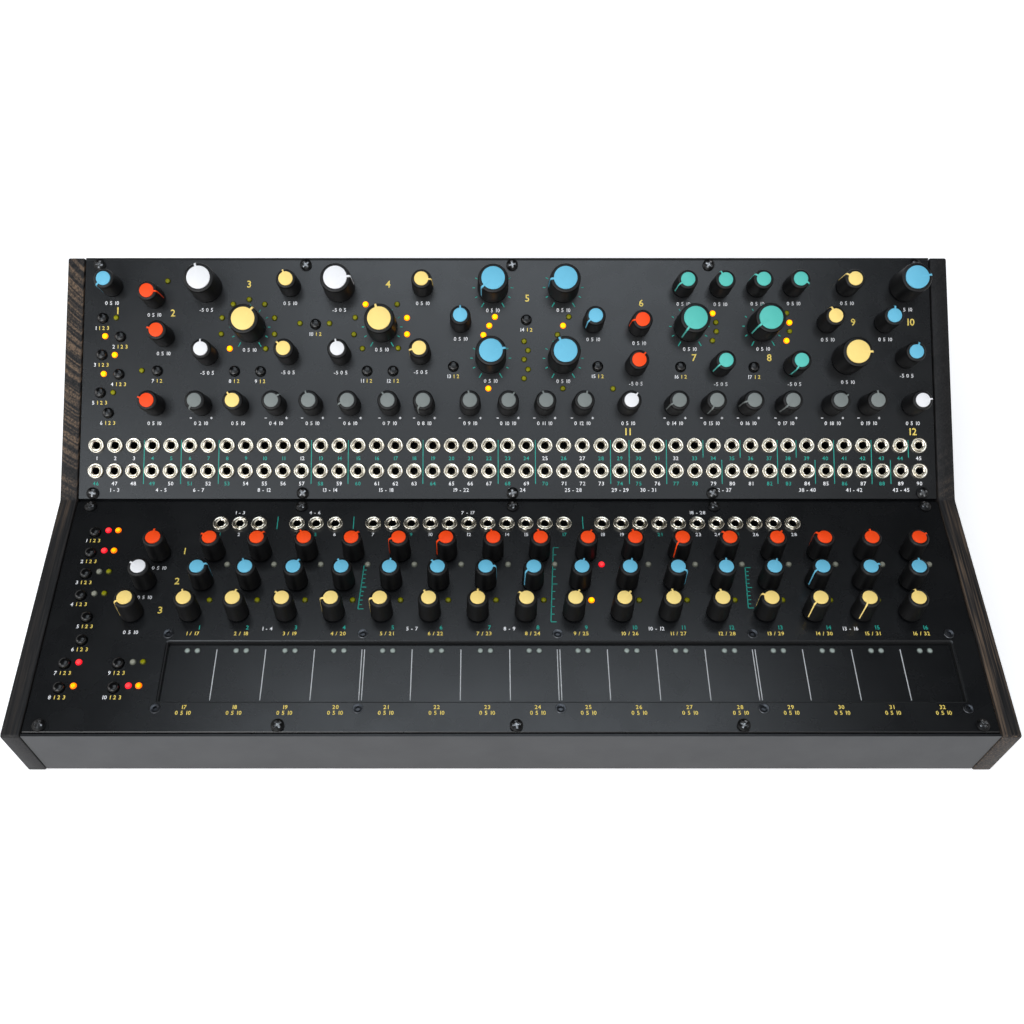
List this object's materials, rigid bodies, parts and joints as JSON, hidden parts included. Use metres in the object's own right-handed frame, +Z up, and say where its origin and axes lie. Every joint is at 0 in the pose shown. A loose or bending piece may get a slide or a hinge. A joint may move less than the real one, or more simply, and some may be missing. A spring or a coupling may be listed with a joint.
{
  "type": "modular synthesizer",
  "caption": "Two-tier desktop modular synthesizer: wooden cheeks, level sequencer panel with touch strip, sloped voice panel of knobs and patch jacks.",
  "frame": {"origin": "on the ground under the middle of the outer box", "axes": "+X to the player's right, +Y to the back, +Z up; the player sits at -Y"},
  "size_m": [0.4542, 0.2486, 0.1149],
  "materials": {
    "cheek_wood": "dark stained open-grain wood",
    "panel_paint": "satin black",
    "case_paint": "satin black",
    "rail_metal": "satin",
    "foot_rubber": "matte",
    "touch_board_face": "satin black solder mask",
    "circuit_board": "green solder mask",
    "socket_plastic": "matte black",
    "rocker_plastic": "gloss black",
    "knob_rubber": "matte black with a coloured cap",
    "button_plastic": "matte black"
  },
  "bodies": {
    "case": {"top_rail": "rail_metal", "upper_panel": "panel_paint", "upper_jack_board": "circuit_board", "upper_control_board": "circuit_board", "front_rail": "rail_metal", "lower_panel": "panel_paint", "touch_board": "touch_board_face", "lower_jack_board": "circuit_board", "lower_control_board": "circuit_board", "left_cheek": "cheek_wood", "right_cheek": "cheek_wood", "case_tray": "case_paint", "rear_panel": "case_paint", "bend_rail": "rail_metal", "front_foot_strip": "foot_rubber", "rear_foot_strip": "foot_rubber", "power_inlet": "socket_plastic", "power_switch_body": "socket_plastic", "power_supply_board": "circuit_board"},
    "coarse_tune_knob_1": {"coarse_tune_knob_1": "knob_rubber"},
    "coarse_tune_knob_2": {"coarse_tune_knob_2": "knob_rubber"},
    "rise_knob_1": {"rise_knob_1": "knob_rubber"},
    "rise_knob_2": {"rise_knob_2": "knob_rubber"},
    "time_knob": {"time_knob": "knob_rubber"},
    "timbre_knob": {"timbre_knob": "knob_rubber"},
    "reflection_knob": {"reflection_knob": "knob_rubber"},
    "dynamics_knob_1": {"dynamics_knob_1": "knob_rubber"},
    "dynamics_knob_2": {"dynamics_knob_2": "knob_rubber"},
    "fall_knob_1": {"fall_knob_1": "knob_rubber"},
    "fall_knob_2": {"fall_knob_2": "knob_rubber"},
    "feedback_knob": {"feedback_knob": "knob_rubber"},
    "glide_knob": {"glide_knob": "knob_rubber"},
    "steps_knob": {"steps_knob": "knob_rubber"},
    "positive_knob": {"positive_knob": "knob_rubber"},
    "pulse_width_knob": {"pulse_width_knob": "knob_rubber"},
    "input_knob_1": {"input_knob_1": "knob_rubber"},
    "response_knob_1": {"response_knob_1": "knob_rubber"},
    "input_knob_2": {"input_knob_2": "knob_rubber"},
    "response_knob_2": {"response_knob_2": "knob_rubber"},
    "size_knob": {"size_knob": "knob_rubber"},
    "density_knob": {"density_knob": "knob_rubber"},
    "shape_knob_1": {"shape_knob_1": "knob_rubber"},
    "shape_knob_2": {"shape_knob_2": "knob_rubber"},
    "amplifier_knob": {"amplifier_knob": "knob_rubber"},
    "mix_knob_1": {"mix_knob_1": "knob_rubber"},
    "mix_knob_2": {"mix_knob_2": "knob_rubber"},
    "tempo_knob": {"tempo_knob": "knob_rubber"},
    "swing_knob": {"swing_knob": "knob_rubber"},
    "gate_length_knob": {"gate_length_knob": "knob_rubber"},
    "upper_button_1": {"upper_button_1": "button_plastic"},
    "upper_button_2": {"upper_button_2": "button_plastic"},
    "upper_button_3": {"upper_button_3": "button_plastic"},
    "upper_button_4": {"upper_button_4": "button_plastic"},
    "upper_button_5": {"upper_button_5": "button_plastic"},
    "upper_button_6": {"upper_button_6": "button_plastic"},
    "lower_button_1": {"lower_button_1": "button_plastic"},
    "lower_button_2": {"lower_button_2": "button_plastic"},
    "lower_button_3": {"lower_button_3": "button_plastic"},
    "lower_button_4": {"lower_button_4": "button_plastic"},
    "power_switch_rocker": {"power_switch_rocker": "rocker_plastic"}
  },
  "joints": [
    {"name": "coarse_tune_knob_1_turn", "type": "hinge", "parent": "case", "child": "coarse_tune_knob_1", "pos_m": [-0.15526, 0.10072, 0.09566], "axis": [0, -0.4879, 0.8729], "range_deg": [-165, 135]},
    {"name": "coarse_tune_knob_2_turn", "type": "hinge", "parent": "case", "child": "coarse_tune_knob_2", "pos_m": [-0.08668, 0.10072, 0.09566], "axis": [0, -0.4879, 0.8729], "range_deg": [-65, 235]},
    {"name": "rise_knob_1_turn", "type": "hinge", "parent": "case", "child": "rise_knob_1", "pos_m": [-0.00743, 0.1005, 0.09554], "axis": [0, -0.4879, 0.8729], "range_deg": [-280, 20]},
    {"name": "rise_knob_2_turn", "type": "hinge", "parent": "case", "child": "rise_knob_2", "pos_m": [0.02896, 0.10061, 0.0956], "axis": [0, -0.4879, 0.8729], "range_deg": [-245, 55]},
    {"name": "time_knob_turn", "type": "hinge", "parent": "case", "child": "time_knob", "pos_m": [0.20526, 0.10083, 0.09572], "axis": [0, -0.4879, 0.8729], "range_deg": [-70, 230]},
    {"name": "timbre_knob_turn", "type": "hinge", "parent": "case", "child": "timbre_knob", "pos_m": [-0.13249, 0.08243, 0.08544], "axis": [0, -0.4879, 0.8729], "range_deg": [-110, 190]},
    {"name": "reflection_knob_turn", "type": "hinge", "parent": "case", "child": "reflection_knob", "pos_m": [-0.06448, 0.08254, 0.0855], "axis": [0, -0.4879, 0.8729], "range_deg": [-165, 135]},
    {"name": "dynamics_knob_1_turn", "type": "hinge", "parent": "case", "child": "dynamics_knob_1", "pos_m": [0.09382, 0.08276, 0.08562], "axis": [0, -0.4879, 0.8729], "range_deg": [-295, 5]},
    {"name": "dynamics_knob_2_turn", "type": "hinge", "parent": "case", "child": "dynamics_knob_2", "pos_m": [0.13154, 0.08287, 0.08568], "axis": [0, -0.4879, 0.8729], "range_deg": [-275, 25]},
    {"name": "fall_knob_1_turn", "type": "hinge", "parent": "case", "child": "fall_knob_1", "pos_m": [-0.00857, 0.06828, 0.07753], "axis": [0, -0.4879, 0.8729], "range_deg": [-70, 230]},
    {"name": "fall_knob_2_turn", "type": "hinge", "parent": "case", "child": "fall_knob_2", "pos_m": [0.02867, 0.06817, 0.07747], "axis": [0, -0.4879, 0.8729], "range_deg": [-175, 125]},
    {"name": "feedback_knob_turn", "type": "hinge", "parent": "case", "child": "feedback_knob", "pos_m": [0.17459, 0.06774, 0.07722], "axis": [0, -0.4879, 0.8729], "range_deg": [-60, 240]},
    {"name": "glide_knob_turn", "type": "hinge", "parent": "case", "child": "glide_knob", "pos_m": [-0.20393, 0.10116, 0.0959], "axis": [0, -0.4879, 0.8729], "range_deg": [-285, 15]},
    {"name": "steps_knob_turn", "type": "hinge", "parent": "case", "child": "steps_knob", "pos_m": [-0.18193, 0.09571, 0.09286], "axis": [0, -0.4879, 0.8729], "range_deg": [-55, 245]},
    {"name": "positive_knob_turn", "type": "hinge", "parent": "case", "child": "positive_knob", "pos_m": [-0.11201, 0.10105, 0.09584], "axis": [0, -0.4879, 0.8729], "range_deg": [-170, 130]},
    {"name": "pulse_width_knob_turn", "type": "hinge", "parent": "case", "child": "pulse_width_knob", "pos_m": [-0.04362, 0.10105, 0.09584], "axis": [0, -0.4879, 0.8729], "range_deg": [-55, 245]},
    {"name": "input_knob_1_turn", "type": "hinge", "parent": "case", "child": "input_knob_1", "pos_m": [0.09087, 0.10072, 0.09566], "axis": [0, -0.4879, 0.8729], "range_deg": [-270, 30]},
    {"name": "response_knob_1_turn", "type": "hinge", "parent": "case", "child": "response_knob_1", "pos_m": [0.10992, 0.10061, 0.0956], "axis": [0, -0.4879, 0.8729], "range_deg": [-180, 120]},
    {"name": "input_knob_2_turn", "type": "hinge", "parent": "case", "child": "input_knob_2", "pos_m": [0.12906, 0.10083, 0.09572], "axis": [0, -0.4879, 0.8729], "range_deg": [-210, 90]},
    {"name": "response_knob_2_turn", "type": "hinge", "parent": "case", "child": "response_knob_2", "pos_m": [0.14773, 0.10094, 0.09578], "axis": [0, -0.4879, 0.8729], "range_deg": [-30, 270]},
    {"name": "size_knob_turn", "type": "hinge", "parent": "case", "child": "size_knob", "pos_m": [0.17526, 0.10105, 0.09584], "axis": [0, -0.4879, 0.8729], "range_deg": [-210, 90]},
    {"name": "density_knob_turn", "type": "hinge", "parent": "case", "child": "density_knob", "pos_m": [-0.17669, 0.07808, 0.083], "axis": [0, -0.4879, 0.8729], "range_deg": [-225, 75]},
    {"name": "shape_knob_1_turn", "type": "hinge", "parent": "case", "child": "shape_knob_1", "pos_m": [-0.024, 0.08472, 0.08672], "axis": [0, -0.4879, 0.8729], "range_deg": [-150, 150]},
    {"name": "shape_knob_2_turn", "type": "hinge", "parent": "case", "child": "shape_knob_2", "pos_m": [0.04419, 0.0845, 0.08659], "axis": [0, -0.4879, 0.8729], "range_deg": [-280, 20]},
    {"name": "amplifier_knob_turn", "type": "hinge", "parent": "case", "child": "amplifier_knob", "pos_m": [0.06782, 0.08276, 0.08562], "axis": [0, -0.4879, 0.8729], "range_deg": [-245, 55]},
    {"name": "mix_knob_1_turn", "type": "hinge", "parent": "case", "child": "mix_knob_1", "pos_m": [0.16487, 0.08439, 0.08653], "axis": [0, -0.4879, 0.8729], "range_deg": [-175, 125]},
    {"name": "mix_knob_2_turn", "type": "hinge", "parent": "case", "child": "mix_knob_2", "pos_m": [0.1944, 0.0845, 0.08659], "axis": [0, -0.4879, 0.8729], "range_deg": [-145, 155]},
    {"name": "tempo_knob_turn", "type": "hinge", "parent": "case", "child": "tempo_knob", "pos_m": [-0.17146, -0.0276, 0.042], "axis": [0, 0, 1], "range_deg": [-150, 150]},
    {"name": "swing_knob_turn", "type": "hinge", "parent": "case", "child": "swing_knob", "pos_m": [-0.17579, -0.04407, 0.042], "axis": [0, 0, 1], "range_deg": [-210, 90]},
    {"name": "gate_length_knob_turn", "type": "hinge", "parent": "case", "child": "gate_length_knob", "pos_m": [-0.17921, -0.06105, 0.042], "axis": [0, 0, 1], "range_deg": [-270, 30]},
    {"name": "upper_button_1_press", "type": "slide", "parent": "case", "child": "upper_button_1", "axis": [0, 0.4879, -0.8729], "range_m": [0, 0.0006], "stiffness_N_per_m": 1200},
    {"name": "upper_button_2_press", "type": "slide", "parent": "case", "child": "upper_button_2", "axis": [0, 0.4879, -0.8729], "range_m": [0, 0.0006], "stiffness_N_per_m": 1200},
    {"name": "upper_button_3_press", "type": "slide", "parent": "case", "child": "upper_button_3", "axis": [0, 0.4879, -0.8729], "range_m": [0, 0.0006], "stiffness_N_per_m": 1200},
    {"name": "upper_button_4_press", "type": "slide", "parent": "case", "child": "upper_button_4", "axis": [0, 0.4879, -0.8729], "range_m": [0, 0.0006], "stiffness_N_per_m": 1200},
    {"name": "upper_button_5_press", "type": "slide", "parent": "case", "child": "upper_button_5", "axis": [0, 0.4879, -0.8729], "range_m": [0, 0.0006], "stiffness_N_per_m": 1200},
    {"name": "upper_button_6_press", "type": "slide", "parent": "case", "child": "upper_button_6", "axis": [0, 0.4879, -0.8729], "range_m": [0, 0.0006], "stiffness_N_per_m": 1200},
    {"name": "lower_button_1_press", "type": "slide", "parent": "case", "child": "lower_button_1", "axis": [0, 0, -1], "range_m": [0, 0.0006], "stiffness_N_per_m": 1200},
    {"name": "lower_button_2_press", "type": "slide", "parent": "case", "child": "lower_button_2", "axis": [0, 0, -1], "range_m": [0, 0.0006], "stiffness_N_per_m": 1200},
    {"name": "lower_button_3_press", "type": "slide", "parent": "case", "child": "lower_button_3", "axis": [0, 0, -1], "range_m": [0, 0.0006], "stiffness_N_per_m": 1200},
    {"name": "lower_button_4_press", "type": "slide", "parent": "case", "child": "lower_button_4", "axis": [0, 0, -1], "range_m": [0, 0.0006], "stiffness_N_per_m": 1200},
    {"name": "power_switch_rock", "type": "hinge", "parent": "case", "child": "power_switch_rocker", "pos_m": [0.19601, 0.12019, 0.027], "axis": [1, 0, 0], "range_deg": [0, 24]}
  ]
}
